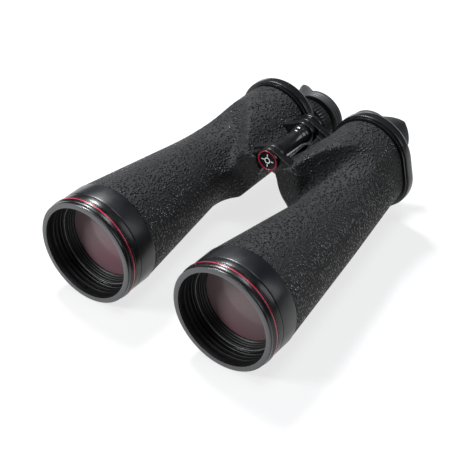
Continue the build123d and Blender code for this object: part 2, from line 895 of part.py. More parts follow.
save_pair("eyepiece_tube", eyepiece_tube())
save_pair("field_lens", lens_disc(lens_edge_radius, field_lens_start, field_lens_end, 1.2, 0.6))
save_pair("eye_lens", lens_disc(lens_edge_radius, eye_lens_start, eye_lens_end, 0.6, 1.2))
save_pair("eyepiece_spacer", eyepiece_spacer())
save_pair("eyepiece_retainer", eyepiece_retainer())
save_pair("eyecup", eyecup())

save("left_prism_housing", prism_housing(first_knuckle, fourth_knuckle))
with BuildPart() as right_prism_housing:
    add(prism_housing(second_knuckle, third_knuckle).mirror(Plane.YZ))
save("right_prism_housing", right_prism_housing.part)

save("hinge_shaft", hinge_shaft())
save("hinge_tube", hinge_tube())
save("hinge_cap", hinge_cap())
save("cap_red_ring", ring(cap_ring_radius, cap_ring_radius - cap_ring_width,
                          cap_station + 0.05, cap_station + cap_ring_depth, 0, hinge_height))
save("hinge_nut", hinge_nut())
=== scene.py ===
import json
import math
import bmesh
import bpy
import numpy as np
from mathutils import Matrix, Vector


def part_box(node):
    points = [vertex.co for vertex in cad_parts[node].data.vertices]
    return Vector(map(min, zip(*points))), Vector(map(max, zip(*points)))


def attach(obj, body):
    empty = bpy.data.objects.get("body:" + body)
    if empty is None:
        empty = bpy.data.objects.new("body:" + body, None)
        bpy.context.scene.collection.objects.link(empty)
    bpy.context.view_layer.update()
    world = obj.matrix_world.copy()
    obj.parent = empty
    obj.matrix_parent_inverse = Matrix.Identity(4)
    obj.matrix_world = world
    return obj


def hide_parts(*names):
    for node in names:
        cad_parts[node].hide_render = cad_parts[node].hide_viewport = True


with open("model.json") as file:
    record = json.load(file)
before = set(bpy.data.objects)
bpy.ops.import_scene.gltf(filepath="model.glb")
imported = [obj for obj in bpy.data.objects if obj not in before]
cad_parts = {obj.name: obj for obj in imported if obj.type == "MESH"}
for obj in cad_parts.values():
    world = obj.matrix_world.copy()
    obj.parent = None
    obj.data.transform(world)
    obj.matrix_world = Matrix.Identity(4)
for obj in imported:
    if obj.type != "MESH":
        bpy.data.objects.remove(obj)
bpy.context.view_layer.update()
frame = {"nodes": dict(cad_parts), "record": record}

mm = 0.001
scene = bpy.context.scene
scene.view_settings.view_transform = "Standard"


# The camera, the lights and the floor.
cameraSet = {
    "place": (0.5268, -0.7623, 0.6982), "azimuth": 36.478, "elevation": 36.201, "roll": 0.282,
    "lens": 104.78, "nearest": 0.01, "farthest": 120,
}


def makeCamera():
    az, el, roll = (math.radians(cameraSet[k]) for k in ("azimuth", "elevation", "roll"))
    right = Vector((math.cos(az), math.sin(az), 0))
    up = Vector((-math.sin(el) * math.sin(az), math.sin(el) * math.cos(az), math.cos(el)))
    back = right.cross(up)
    turnedRight = right * math.cos(roll) + up * math.sin(roll)
    turnedUp = up * math.cos(roll) - right * math.sin(roll)
    data = bpy.data.cameras.new("camera")
    data.lens = cameraSet["lens"]
    data.sensor_width = 36
    data.clip_start = cameraSet["nearest"]
    data.clip_end = cameraSet["farthest"]
    view = bpy.data.objects.new("camera", data)
    scene.collection.objects.link(view)
    turn = Matrix((turnedRight, turnedUp, back)).transposed().to_4x4()
    view.matrix_world = Matrix.Translation(cameraSet["place"]) @ turn
    scene.camera = view


lightSet = [
    # name, place, aim, size x, size y, watts, colour
    ("keySoftbox", (-0.75, 0.35, 1.35), (0, 0, 0.04), 0.35, 0.35, 48, (0.95, 0.975, 1.0)),
    ("frontSoftbox", (-0.9, -1.1, 0.75), (0, -0.05, 0.04), 0.45, 0.35, 22, (0.97, 0.98, 1.0)),
    ("sideSoftbox", (1.1, 0.75, 0.85), (0.05, 0, 0.04), 0.4, 0.9, 4, (0.93, 0.96, 1.0)),
    ("topStrip", (0.35, -0.15, 1.5), (0.05, 0, 0.05), 0.5, 0.5, 10, (0.92, 0.95, 1.0)),
]
roomSet = {"colour": (0.93, 0.95, 1.0, 1), "strength": 0.07}
floorSet = {
    "size": 90, "drop": 0.0002, "colour": (0.2, 0.2, 0.2, 1), "roughness": 0.9, "specular": 0.1,
    "glow": 0.74,
}


def makeLights():
    for name, place, aim, wide, high, watts, colour in lightSet:
        data = bpy.data.lights.new(name, "AREA")
        data.shape = "RECTANGLE"
        data.size, data.size_y = wide, high
        data.energy = watts
        data.color = colour
        lamp = bpy.data.objects.new(name, data)
        scene.collection.objects.link(lamp)
        lamp.location = place
        lamp.rotation_euler = (Vector(aim) - Vector(place)).to_track_quat("-Z", "Y").to_euler()
    world = bpy.data.worlds.new("paleRoom")
    scene.world = world
    world.use_nodes = True
    background = world.node_tree.nodes["Background"]
    background.inputs["Color"].default_value = roomSet["colour"]
    background.inputs["Strength"].default_value = roomSet["strength"]


def newLook(name):
    look = bpy.data.materials.new(name)
    look.use_nodes = True
    return look, look.node_tree, look.node_tree.nodes["Principled BSDF"]


def makeFloor():
    bpy.ops.object.select_all(action="DESELECT")
    bpy.ops.mesh.primitive_plane_add(size=floorSet["size"], location=(0, 0, -floorSet["drop"]))
    floor = bpy.context.object
    floor.name = "floor"
    look, _, shader = newLook("paleFloor")
    shader.inputs["Base Color"].default_value = floorSet["colour"]
    shader.inputs["Roughness"].default_value = floorSet["roughness"]
    shader.inputs["Specular IOR Level"].default_value = floorSet["specular"]
    shader.inputs["Emission Color"].default_value = (1, 1, 1, 1)
    shader.inputs["Emission Strength"].default_value = floorSet["glow"]
    floor.data.materials.append(look)


makeCamera()
makeLights()
makeFloor()
print("camera, lights and floor are in place")


# Shader groups that several finishes share.
def newGroup(name, inputs, outputs):
    group = bpy.data.node_groups.new(name, "ShaderNodeTree")
    for label, kind, value in inputs:
        plug = group.interface.new_socket(name=label, in_out="INPUT", socket_type=kind)
        plug.default_value = value
    for label, kind in outputs:
        group.interface.new_socket(name=label, in_out="OUTPUT", socket_type=kind)
    return group, group.nodes.new("NodeGroupInput"), group.nodes.new("NodeGroupOutput")


def mathNode(tree, action, first, second=None, clamp=False):
    node = tree.nodes.new("ShaderNodeMath")
    node.operation = action
    node.use_clamp = clamp
    for plug, value in zip(node.inputs, (first, second)):
        if value is None:
            continue
        if isinstance(value, (int, float)):
            plug.default_value = value
        else:
            tree.links.new(value, plug)
    return node.outputs[0]


def rangeNode(tree, value, low, high, newLow=0.0, newHigh=1.0):
    node = tree.nodes.new("ShaderNodeMapRange")
    node.interpolation_type = "SMOOTHSTEP"
    tree.links.new(value, node.inputs["Value"])
    for label, number in (("From Min", low), ("From Max", high), ("To Min", newLow), ("To Max", newHigh)):
        if isinstance(number, (int, float)):
            node.inputs[label].default_value = number
        else:
            tree.links.new(number, node.inputs[label])
    return node.outputs["Result"]


def mixColour(tree, amount, first, second):
    node = tree.nodes.new("ShaderNodeMix")
    node.data_type = "RGBA"
    plugs = [p for p in node.inputs if p.enabled]
    for plug, value in zip(plugs, (amount, first, second)):
        if isinstance(value, (int, float, tuple)):
            plug.default_value = value
        else:
            tree.links.new(value, plug)
    return [p for p in node.outputs if p.enabled][0]


def noiseNode(tree, scale, detail, rough=0.5):
    place = tree.nodes.new("ShaderNodeTexCoord")
    node = tree.nodes.new("ShaderNodeTexNoise")
    tree.links.new(place.outputs["Object"], node.inputs["Vector"])
    if isinstance(scale, (int, float)):
        node.inputs["Scale"].default_value = scale
    else:
        tree.links.new(scale, node.inputs["Scale"])
    node.inputs["Detail"].default_value = detail
    node.inputs["Roughness"].default_value = rough
    return node.outputs["Fac"]


grainSet = {
    "wobbleScale": 420, "wobble": 0.0014, "smoothness": 0.22, "domeTop": 0.16, "domeFoot": 0.56,
    "fineScale": 2600, "fineShare": 0.08,
}


def makeGrainGroup():
    g = grainSet
    group, start, end = newGroup(
        "pebbleGrain",
        [("Pebble", "NodeSocketFloat", 600.0), ("Relief", "NodeSocketFloat", 1.0)],
        [("Height", "NodeSocketFloat"), ("Top", "NodeSocketFloat")])
    place = group.nodes.new("ShaderNodeTexCoord")
    wobble = group.nodes.new("ShaderNodeTexNoise")
    wobble.inputs["Scale"].default_value = g["wobbleScale"]
    group.links.new(place.outputs["Object"], wobble.inputs["Vector"])
    shift = group.nodes.new("ShaderNodeVectorMath")
    shift.operation = "MULTIPLY_ADD"
    group.links.new(wobble.outputs["Color"], shift.inputs[0])
    shift.inputs[1].default_value = (g["wobble"],) * 3
    group.links.new(place.outputs["Object"], shift.inputs[2])
    cells = group.nodes.new("ShaderNodeTexVoronoi")
    cells.feature = "SMOOTH_F1"
    cells.inputs["Smoothness"].default_value = g["smoothness"]
    group.links.new(shift.outputs[0], cells.inputs["Vector"])
    group.links.new(start.outputs["Pebble"], cells.inputs["Scale"])
    dome = rangeNode(group, cells.outputs["Distance"], g["domeTop"], g["domeFoot"], 1.0, 0.0)
    fine = noiseNode(group, g["fineScale"], 2.0)
    both = mathNode(group, "ADD", dome, mathNode(group, "MULTIPLY", fine, g["fineShare"]))
    group.links.new(mathNode(group, "MULTIPLY", both, start.outputs["Relief"]), end.inputs["Height"])
    # Top marks the pebble tops; the covering uses it for roughness and for its painted highlight and shade
    group.links.new(dome, end.inputs["Top"])
    return group


def makeWearGroup():
    group, start, end = newGroup(
        "edgeWear",
        [("Edge", "NodeSocketFloat", 0.53), ("Breakup", "NodeSocketFloat", 260.0)],
        [("Mask", "NodeSocketFloat")])
    shape = group.nodes.new("ShaderNodeNewGeometry")
    edge = rangeNode(group, shape.outputs["Pointiness"], start.outputs["Edge"],
                     mathNode(group, "ADD", start.outputs["Edge"], 0.07))
    patch = rangeNode(group, noiseNode(group, start.outputs["Breakup"], 4.0), 0.36, 0.66)
    group.links.new(mathNode(group, "MULTIPLY", edge, patch), end.inputs["Mask"])
    return group


def makeFinishGroup():
    group, start, end = newGroup(
        "paintTexture",
        [("Peel", "NodeSocketFloat", 900.0), ("Dust", "NodeSocketFloat", 0.3)],
        [("Height", "NodeSocketFloat"), ("Smudge", "NodeSocketFloat"), ("Dust", "NodeSocketFloat")])
    peel = noiseNode(group, start.outputs["Peel"], 2.0)
    smudge = rangeNode(group, noiseNode(group, 38, 5.0, 0.6), 0.35, 0.7)
    specks = rangeNode(group, noiseNode(group, 5200, 1.0), 0.68, 0.78)
    group.links.new(peel, end.inputs["Height"])
    group.links.new(smudge, end.inputs["Smudge"])
    group.links.new(mathNode(group, "MULTIPLY", specks, start.outputs["Dust"]), end.inputs["Dust"])
    return group


grainGroup = makeGrainGroup()
wearGroup = makeWearGroup()
finishGroup = makeFinishGroup()


def placeGroup(tree, group, **values):
    node = tree.nodes.new("ShaderNodeGroup")
    node.node_tree = group
    for label, value in values.items():
        node.inputs[label].default_value = value
    return node


def bumpNode(tree, shader, height, strength, distance):
    bump = tree.nodes.new("ShaderNodeBump")
    bump.inputs["Strength"].default_value = strength
    bump.inputs["Distance"].default_value = distance
    tree.links.new(height, bump.inputs["Height"])
    tree.links.new(bump.outputs["Normal"], shader.inputs["Normal"])


# The finishes.
# base colour, worn colour, roughness low and high, coat, peel scale, bump mm, edge wear start, metallic
paintSet = {
    "hoodPaint": ((0.0045, 0.0046, 0.0052), (0.02, 0.02, 0.021), 0.22, 0.30, 0.0, 1100, 0.003, 0.75, 0.0),
    # the hood rim's flat front faces: their lighter grey is a painted reflection on the black paint
    "rimPaintedReflection": ((0.066, 0.067, 0.070), (0.1, 0.1, 0.1), 0.30, 0.42, 0.1, 1500, 0.006, 0.62, 0.0),
    "collarPaint": ((0.0040, 0.0043, 0.0056), (0.012, 0.012, 0.014), 0.30, 0.38, 0.04, 700, 0.005, 0.62, 0.0),
    "castingPaint": ((0.0045, 0.0045, 0.0052), (0.02, 0.02, 0.02), 0.24, 0.36, 0.15, 850, 0.012, 0.60, 0.0),
    "coverPaint": ((0.0048, 0.0049, 0.0058), (0.02, 0.02, 0.021), 0.26, 0.36, 0.10, 900, 0.008, 0.60, 0.0),
    "mattBlack": ((0.0022, 0.0022, 0.0024), (0.006, 0.006, 0.006), 0.46, 0.60, 0.0, 2400, 0.006, 0.62, 0.0),
    "ringPaint": ((0.0090, 0.0090, 0.0098), (0.035, 0.035, 0.035), 0.28, 0.40, 0.15, 1500, 0.008, 0.60, 0.0),
    "hingePaint": ((0.0070, 0.0070, 0.0078), (0.035, 0.035, 0.036), 0.18, 0.30, 0.4, 900, 0.008, 0.60, 0.0),
    "capEnamel": ((0.0045, 0.0045, 0.0048), (0.02, 0.02, 0.02), 0.16, 0.26, 0.5, 600, 0.004, 0.62, 0.0),
    "crimsonEnamel": ((0.40, 0.010, 0.042), (0.42, 0.05, 0.08), 0.26, 0.36, 0.4, 1200, 0.004, 0.62, 0.0),
    "whiteEnamel": ((0.74, 0.74, 0.73), (0.6, 0.6, 0.58), 0.35, 0.5, 0.1, 1800, 0.003, 0.62, 0.0),
    # the retainer's thin grey line is a painted highlight on its front lip
    "lipHighlightGrey": ((0.16, 0.17, 0.17), (0.2, 0.2, 0.2), 0.30, 0.42, 0.1, 1500, 0.004, 0.62, 0.0),
    "turnedSteel": ((0.46, 0.46, 0.47), (0.6, 0.6, 0.6), 0.22, 0.38, 0.0, 2600, 0.006, 0.62, 1.0),
    "springSteel": ((0.5, 0.5, 0.5), (0.6, 0.6, 0.6), 0.25, 0.4, 0.0, 2600, 0.006, 0.62, 1.0),
    "screwSteel": ((0.055, 0.055, 0.058), (0.2, 0.2, 0.2), 0.3, 0.42, 0.0, 2200, 0.006, 0.58, 0.9),
}


def makePaint(name):
    colour, worn, smooth, rough, coat, peel, depth, edge, metal = paintSet[name]
    look, tree, shader = newLook(name)
    texture = placeGroup(tree, finishGroup, Peel=peel, Dust=0.05)
    wear = placeGroup(tree, wearGroup, Edge=edge, Breakup=260)
    tinted = mixColour(tree, wear.outputs["Mask"], (*colour, 1), (*worn, 1))
    dusty = mixColour(tree, texture.outputs["Dust"], tinted, (0.5, 0.5, 0.5, 1))
    tree.links.new(dusty, shader.inputs["Base Color"])
    gloss = rangeNode(tree, texture.outputs["Smudge"], 0.0, 1.0, smooth, rough)
    tree.links.new(gloss, shader.inputs["Roughness"])
    shader.inputs["Metallic"].default_value = metal
    shader.inputs["Coat Weight"].default_value = coat
    shader.inputs["Coat Roughness"].default_value = 0.12
    shader.inputs["Specular IOR Level"].default_value = 0.35
    bumpNode(tree, shader, texture.outputs["Height"], 0.6, depth * mm)
    return look


# colour is the pebble hollows, darkened as painted shade; top is the pebble tops, lighter as a painted
# highlight
coveringSet = {
    "pebblesPerMetre": 440, "depth": 2.1, "colour": (0.0014, 0.0015, 0.0018), "top": (0.0050, 0.0054, 0.0066),
    "footRoughness": 0.74, "topRoughness": 0.16, "specular": 0.40,
}


def makeCovering():
    look, tree, shader = newLook("pebbledCovering")
    grain = placeGroup(tree, grainGroup, Pebble=coveringSet["pebblesPerMetre"], Relief=1.0)
    texture = placeGroup(tree, finishGroup, Peel=900.0, Dust=0.03)
    # pebble tops get the lighter colour and the hollows the darker one: painted highlight and painted shade
    # in the grain
    colour = mixColour(tree, grain.outputs["Top"], (*coveringSet["colour"], 1), (*coveringSet["top"], 1))
    colour = mixColour(tree, texture.outputs["Dust"], colour, (0.4, 0.4, 0.4, 1))
    tree.links.new(colour, shader.inputs["Base Color"])
    gloss = rangeNode(tree, grain.outputs["Top"], 0.0, 1.0,
                      coveringSet["footRoughness"], coveringSet["topRoughness"])
    smudge = mathNode(tree, "MULTIPLY", texture.outputs["Smudge"], 0.08)
    gloss = mathNode(tree, "ADD", gloss, smudge, True)
    tree.links.new(gloss, shader.inputs["Roughness"])
    shader.inputs["Specular IOR Level"].default_value = coveringSet["specular"]
    bumpNode(tree, shader, grain.outputs["Height"], 1.0, coveringSet["depth"] * mm)
    return look


def makeRubber(name, colour, rough):
    look, tree, shader = newLook(name)
    texture = placeGroup(tree, finishGroup, Peel=2100.0, Dust=0.12)
    wear = placeGroup(tree, wearGroup, Edge=0.55, Breakup=180)
    worn = tuple(min(c * 2.6, 1) for c in colour)
    tinted = mixColour(tree, wear.outputs["Mask"], (*colour, 1), (*worn, 1))
    dusty = mixColour(tree, texture.outputs["Dust"], tinted, (0.35, 0.34, 0.33, 1))
    tree.links.new(dusty, shader.inputs["Base Color"])
    gloss = rangeNode(tree, texture.outputs["Smudge"], 0.0, 1.0, rough, rough + 0.14)
    tree.links.new(gloss, shader.inputs["Roughness"])
    bumpNode(tree, shader, texture.outputs["Height"], 0.7, 0.02 * mm)
    return look


# first and second colour of the glass (for the coated glass these mauve tones are a painted reflection of its
# coating, nearly opaque), transmission, coat, roughness, specular level
glassSet = {
    "coatedGlass": ((0.160, 0.088, 0.100), (0.140, 0.100, 0.104), 0.08, 0.10, 0.16, 0.14),
    "plainGlass": ((0.86, 0.9, 0.88), (0.83, 0.88, 0.86), 1.0, 0.0, 0.01, 0.5),
    "prismGlass": ((0.88, 0.9, 0.9), (0.86, 0.88, 0.88), 1.0, 0.0, 0.01, 0.5),
}


def makeGlass(name):
    colour, second, through, coat, rough, level = glassSet[name]
    look, tree, shader = newLook(name)
    # for the coated glass, the two tones that drift at random across the lens are a painted reflection
    drift = rangeNode(tree, noiseNode(tree, 14, 0.0), 0.38, 0.62)
    tree.links.new(mixColour(tree, drift, (*colour, 1), (*second, 1)), shader.inputs["Base Color"])
    texture = placeGroup(tree, finishGroup, Peel=30.0, Dust=0.0)
    gloss = rangeNode(tree, texture.outputs["Smudge"], 0.0, 1.0, rough, rough + 0.03)
    tree.links.new(gloss, shader.inputs["Roughness"])
    shader.inputs["IOR"].default_value = 1.52
    shader.inputs["Specular IOR Level"].default_value = level
    shader.inputs["Transmission Weight"].default_value = through
    shader.inputs["Coat Weight"].default_value = coat
    shader.inputs["Coat Roughness"].default_value = 0.05
    shader.inputs["Coat Tint"].default_value = (1.0, 0.86, 0.88, 1)
    return look


looks = {name: makePaint(name) for name in paintSet}
looks["covering"] = makeCovering()
looks["eyecupRubber"] = makeRubber("eyecupRubber", (0.011, 0.011, 0.0115), 0.52)
looks["sealRubber"] = makeRubber("sealRubber", (0.01, 0.01, 0.01), 0.6)
for glassName in glassSet:
    looks[glassName] = makeGlass(glassName)

slotLooks = {
    "hood_black": "hoodPaint", "collar_black": "collarPaint", "casting_black": "castingPaint",
    "cover_black": "coverPaint", "barrel_black": "mattBlack", "ring_black": "ringPaint",
    "hinge_black": "hingePaint", "cap_black": "capEnamel", "shaft_steel": "turnedSteel",
    "spring_steel": "springSteel", "screw_steel": "screwSteel", "red_ring": "crimsonEnamel",
    "covering": "covering", "coated_glass": "coatedGlass", "plain_glass": "plainGlass",
    "prism_glass": "prismGlass", "eyecup_rubber": "eyecupRubber", "seal_rubber": "sealRubber",
}


def paintFrame():
    for part in frame["record"]["subparts"]:
        node = frame["nodes"][part["node"]]
        for plug in node.material_slots:
            plug.link = "OBJECT"
            plug.material = looks[slotLooks[part["material_slot"]]]


paintFrame()
print("finishes are made, and the frame is painted")


# Places, all read from the frame. A station is a distance in mm behind the hoods' front.
def boxMiddle(node):
    low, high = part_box(node)
    return [(a + b) / 2 for a, b in zip(low, high)]


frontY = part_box("left_objective_hood")[0][1]
barrelX, _, barrelZ = boxMiddle("left_objective_hood")
eyeX, _, eyeZ = boxMiddle("left_focus_ring")
hingeZ = boxMiddle("hinge_tube")[2]


def atStation(node, end=0):
    return (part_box(node)[end][1] - frontY) / mm


capStart = atStation("hinge_cap")
tubeStart = atStation("hinge_tube")
tubeEnd = atStation("hinge_tube", 1)
nutStart = atStation("hinge_nut")
nutEnd = atStation("hinge_nut", 1)
coverStart = atStation("left_rear_cover")
coverEnd = atStation("left_rear_cover", 1)
ringStart = atStation("left_focus_ring")
ringEnd = atStation("left_focus_ring", 1)
cupStart = atStation("left_eyecup")
wingTip = atStation("left_eyecup", 1)
coveringStart = atStation("left_body_covering")
coveringEnd = atStation("left_body_covering", 1)


# Modelling helpers. Radii and stations are in mm.
def circleRing(x, z, radius, station, count, wave=None):
    ring = []
    for index in range(count):
        angle = 2 * math.pi * index / count
        reach = (radius + (wave(angle) if wave else 0)) * mm
        ring.append((x + reach * math.cos(angle), frontY + station * mm, z + reach * math.sin(angle)))
    return ring


def outlineRing(circles, margin, station, count):
    # circles are (x, z, radius) in mm from the barrel's plane; each direction takes its farthest point
    ring = []
    for index in range(count):
        angle = 2 * math.pi * index / count
        way = (math.cos(angle), math.sin(angle))
        x, z, radius = max(circles, key=lambda c: c[0] * way[0] + c[1] * way[1] + c[2])
        ring.append(((x + (radius + margin) * way[0]) * mm, frontY + station * mm,
                     barrelZ + (z + (radius + margin) * way[1]) * mm))
    return ring


def ringStack(name, rings, closed=False, caps=True):
    bpy.ops.object.select_all(action="DESELECT")
    bpy.ops.mesh.primitive_circle_add(vertices=len(rings[0]), radius=0.01)
    piece = bpy.context.object
    piece.name = piece.data.name = name
    bpy.ops.object.mode_set(mode="EDIT")
    bpy.ops.mesh.select_all(action="SELECT")
    for index, ring in enumerate(rings):
        if index:
            bpy.ops.mesh.extrude_region_move()
        shape = bmesh.from_edit_mesh(piece.data)
        chosen = [v for v in shape.verts if v.select]
        for vert, place in zip(chosen, ring):
            vert.co = place
        bmesh.update_edit_mesh(piece.data)
    bpy.ops.mesh.select_all(action="SELECT")
    bpy.ops.mesh.remove_doubles(threshold=1e-6)
    if caps and not closed:
        bpy.ops.mesh.fill_holes(sides=0)
        bpy.ops.mesh.select_all(action="SELECT")
    bpy.ops.mesh.normals_make_consistent(inside=False)
    bpy.ops.object.mode_set(mode="OBJECT")
    return piece


def only(piece):
    bpy.ops.object.select_all(action="DESELECT")
    piece.select_set(True)
    bpy.context.view_layer.objects.active = piece


def roundEdges(piece, width, segments, angle):
    only(piece)
    soft = piece.modifiers.new("softEdges", "BEVEL")
    soft.width = width * mm
    soft.segments = segments
    soft.limit_method = "ANGLE"
    soft.angle_limit = math.radians(angle)
    soft.use_clamp_overlap = True
    bpy.ops.object.modifier_apply(modifier=soft.name)


def smoothShade(piece, angle):
    only(piece)
    bpy.ops.object.shade_smooth_by_angle(angle=math.radians(angle))


def mirrorInPlace(piece):
    only(piece)
    bpy.ops.object.mode_set(mode="EDIT")
    bpy.ops.mesh.select_all(action="SELECT")
    bpy.ops.transform.mirror(orient_type="GLOBAL", constraint_axis=(True, False, False),
                             center_override=(0, 0, 0))
    bpy.ops.mesh.normals_make_consistent(inside=False)
    bpy.ops.object.mode_set(mode="OBJECT")
    return piece


def mirrored(piece, name):
    only(piece)
    bpy.ops.object.duplicate()
    other = bpy.context.object
    other.name = other.data.name = name
    return mirrorInPlace(other)


def settle(piece, body, nodes, look=None):
    if look:
        piece.data.materials.clear()
        piece.data.materials.append(looks[look])
    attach(piece, body)
    if nodes:
        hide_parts(*nodes)


def pairUp(piece, body, node, look=None):
    # a left piece and its mirror image; body and node are the names after left_ and right_
    other = mirrored(piece, piece.name.replace("left", "right"))
    for side, one in (("left_", piece), ("right_", other)):
        settle(one, side + body, [side + node], look)


def joinPieces(name, pieces):
    bpy.ops.object.select_all(action="DESELECT")
    for piece in pieces:
        piece.select_set(True)
    bpy.context.view_layer.objects.active = pieces[0]
    bpy.ops.object.join()
    pieces[0].name = pieces[0].data.name = name
    return pieces[0]


def turnedPiece(name, profile, x, z, count, closed=True):
    return ringStack(name, [circleRing(x, z, r, s, count) for r, s in profile], closed)


def fromBarrel(place):
    return math.hypot(place.x - barrelX, place.z - barrelZ) / mm


def paintFaces(piece, look, test):
    piece.data.materials.append(looks[look])
    number = len(piece.data.materials) - 1
    for face in piece.data.polygons:
        if test(face.center, face.normal):
            face.material_index = number


# The objective hoods, each an open ring turned about its barrel's axis.
hoodSet = {
    "rim": 46.9, "flange": 47.6, "waist": 46.75, "bore": 41.56, "thread": 42.6, "shoulder": 16.2,
    "back": 18.2,
    "stepStations": (4.2, 8.6, 13.0), "stepDepth": 0.6, "boreEnd": 17.4, "redStart": 6.65, "redEnd": 7.75,
    "redDepth": 0.85,
    "count": 160,
}


def makeHoods():
    h = hoodSet
    b, f, w = h["bore"], h["flange"], h["waist"]
    rim, shoulder = h["rim"], h["shoulder"]
    redFloor = f - h["redDepth"]
    rimPart = [(b + 0.45, 0.0), (rim - 0.95, 0.0), (rim - 0.35, 0.18), (rim - 0.05, 0.6), (rim, 1.2),
               (rim, 3.1), (rim - 0.35, 3.3), (rim - 0.35, 3.75), (rim, 3.95), (rim + 0.1, 5.0)]
    flangePart = [(f - 0.12, 5.8), (f, 6.1), (f, h["redStart"]), (redFloor, h["redStart"]),
                  (redFloor, h["redEnd"]),
                  (f, h["redEnd"]), (f, 8.15), (f - 0.25, 8.4), (f - 0.75, 8.5), (f - 0.75, 8.9),
                  (f - 0.3, 9.1),
                  (f - 0.3, 9.9)]
    waistPart = [(w - 0.35, 10.1), (w - 0.35, 10.6), (w, 10.8), (w, 15.9), (w - 0.3, shoulder),
                 (h["thread"], shoulder), (h["thread"], h["back"]), (b, h["back"])]
    last = h["boreEnd"]
    borePart = [(b, last)]
    deep = b + h["stepDepth"]
    for station in reversed(h["stepStations"]):
        borePart += [(deep, last - 0.5), (deep, station + 1.3), (b + 0.1, station + 0.9), (b, station + 0.3)]
        last = station
    borePart += [(b, 1.6), (b + 0.45, 0.8)]
    profile = rimPart + flangePart + waistPart + borePart
    hood = turnedPiece("leftHood", profile + profile[:1], barrelX, barrelZ, h["count"])
    roundEdges(hood, 0.10, 2, 50)
    smoothShade(hood, 40)
    hood.data.materials.append(looks["hoodPaint"])
    # the flat front faces of the rim get the lighter grey, a painted reflection
    paintFaces(hood, "rimPaintedReflection", lambda c, n: n.y < -0.8 and c.y < frontY + 0.5 * mm)
    paintFaces(hood, "mattBlack", lambda c, n: fromBarrel(c) < b + 0.95 and c.y > frontY + 0.75 * mm)
    pairUp(hood, "half", "objective_hood")


def makeRedRings():
    f = hoodSet["flange"]
    a, b = hoodSet["redStart"], hoodSet["redEnd"]
    profile = [(f - 0.8, a + 0.05), (f - 0.12, a + 0.05), (f - 0.02, a + 0.25), (f - 0.02, b - 0.25),
               (f - 0.12, b - 0.05), (f - 0.8, b - 0.05)]
    band = turnedPiece("leftHoodRedRing", profile + profile[:1], barrelX, barrelZ, hoodSet["count"])
    smoothShade(band, 50)
    pairUp(band, "half", "hood_red_ring", "crimsonEnamel")


retainerSet = {"outer": 40.4, "mouth": 39.0, "clear": 35.0, "start": 18.3, "end": 27.1}


def makeRetainers():
    r = retainerSet
    profile = [(r["mouth"], r["start"]), (r["outer"], r["start"]), (r["outer"], 21.2), (38.3, 21.2),
               (38.3, r["end"]),
               (r["clear"], r["end"]), (r["clear"], r["end"] - 0.5), (35.5, 25.9), (36.3, 25.6),
               (36.5, 24.0),
               (37.2, 23.8), (37.4, 22.2), (38.0, 22.0), (38.2, 20.0), (38.6, 19.7), (38.7, 18.75),
               (38.85, 18.4), (r["mouth"], r["start"])]
    band = turnedPiece("leftObjectiveRetainer", profile, barrelX, barrelZ, 144)
    roundEdges(band, 0.06, 1, 40)
    smoothShade(band, 40)
    band.data.materials.append(looks["mattBlack"])
    edge = frontY + (r["start"] + 0.3) * mm
    # a thin ring at the retainer's mouth is painted light grey, a painted highlight on its front lip
    paintFaces(band, "lipHighlightGrey", lambda c, n: c.y < edge and fromBarrel(c) < r["mouth"] + 0.3)
    pairUp(band, "half", "objective_retainer")


makeHoods()
makeRedRings()
makeRetainers()
print("hoods, red rings and retainers are made")


# The objective tubes, whose smooth front is the collar.
collarSet = {"radius": 46.9, "start": 16.3, "end": 34.5, "tail": 32.0, "tailStation": 148.0, "bore": 40.5}


def makeCollars():
    c = collarSet
    r, a, b = c["radius"], c["start"], c["end"]
    outside = [(44.6, a), (r - 0.7, a), (r - 0.25, a + 0.1), (r - 0.06, a + 0.4), (r, a + 1.0), (r, b - 0.9),
               (r - 0.15, b - 0.3), (r - 0.6, b), (tubeRadiusAt(b) - 1.2, b),
               (c["tail"] - 1.2, c["tailStation"])]
    inside = [(c["tail"] - 3.4, c["tailStation"]), (37.2, 52.0), (37.2, 49.5), (c["bore"], 49.5),
              (c["bore"], 18.3), (42.7, 18.3), (42.7, 17.9), (44.0, 17.6)]
    profile = outside + inside + outside[:1]
    tube = turnedPiece("leftObjectiveTube", profile, barrelX, barrelZ, 144)
    roundEdges(tube, 0.08, 1, 40)
    smoothShade(tube, 40)
    tube.data.materials.append(looks["collarPaint"])
    paintFaces(tube, "mattBlack", lambda c, n: c.y > frontY + 36 * mm)
    pairUp(tube, "half", "objective_tube")


# The pebbled covering and the casting under it.
housingSet = {
    "circles": [(50.0, 15.0, 35.0), (58.8, -0.6, 29.5), (56.0, -17.0, 19.0), (28.7, 12.0, 17.0)],
    "front": 160.0, "end": 242.0, "tubeFront": 46.55, "neck": 32.0, "neckStation": 148.2, "tail": 18.6,
    "wallPoint": (24.0, 158.0, 35.0), "slopeX": 1.34, "slopeZ": 0.35,
    "webs": [(24.0, 24.6, 8.8), (25.0, 9.0, 8.5), (12.0, 27.0, 6.5)],
    "midWebs": [(24.0, 24.6, 8.8), (25.0, 9.0, 8.5), (17.5, 25.5, 6.5)],
    "voxel": 1.25, "valley": 24.0, "valleyGrowth": 36.0, "ridge": 4.0, "thickness": 1.0,
    "underStart": 15.0, "underSlant": 0.525, "underBlend": 6.0, "frontBlend": 3.0, "webBlend": 5.0,
    "valleyStart": 45.0, "valleyLength": 40.0, "castingInset": 1.4, "castingVoxel": 2.6, "castingWall": 2.0,
}


def tubeRadiusAt(station):
    h = housingSet
    start, waist = collarSet["end"], h["neckStation"]
    front = (station - start) / (waist - start)
    rear = (station - waist) / (h["end"] - waist)
    return np.where(np.asarray(station) <= waist, h["tubeFront"] + front * (h["neck"] - h["tubeFront"]),
                    h["neck"] + rear * (h["tail"] - h["neck"]))


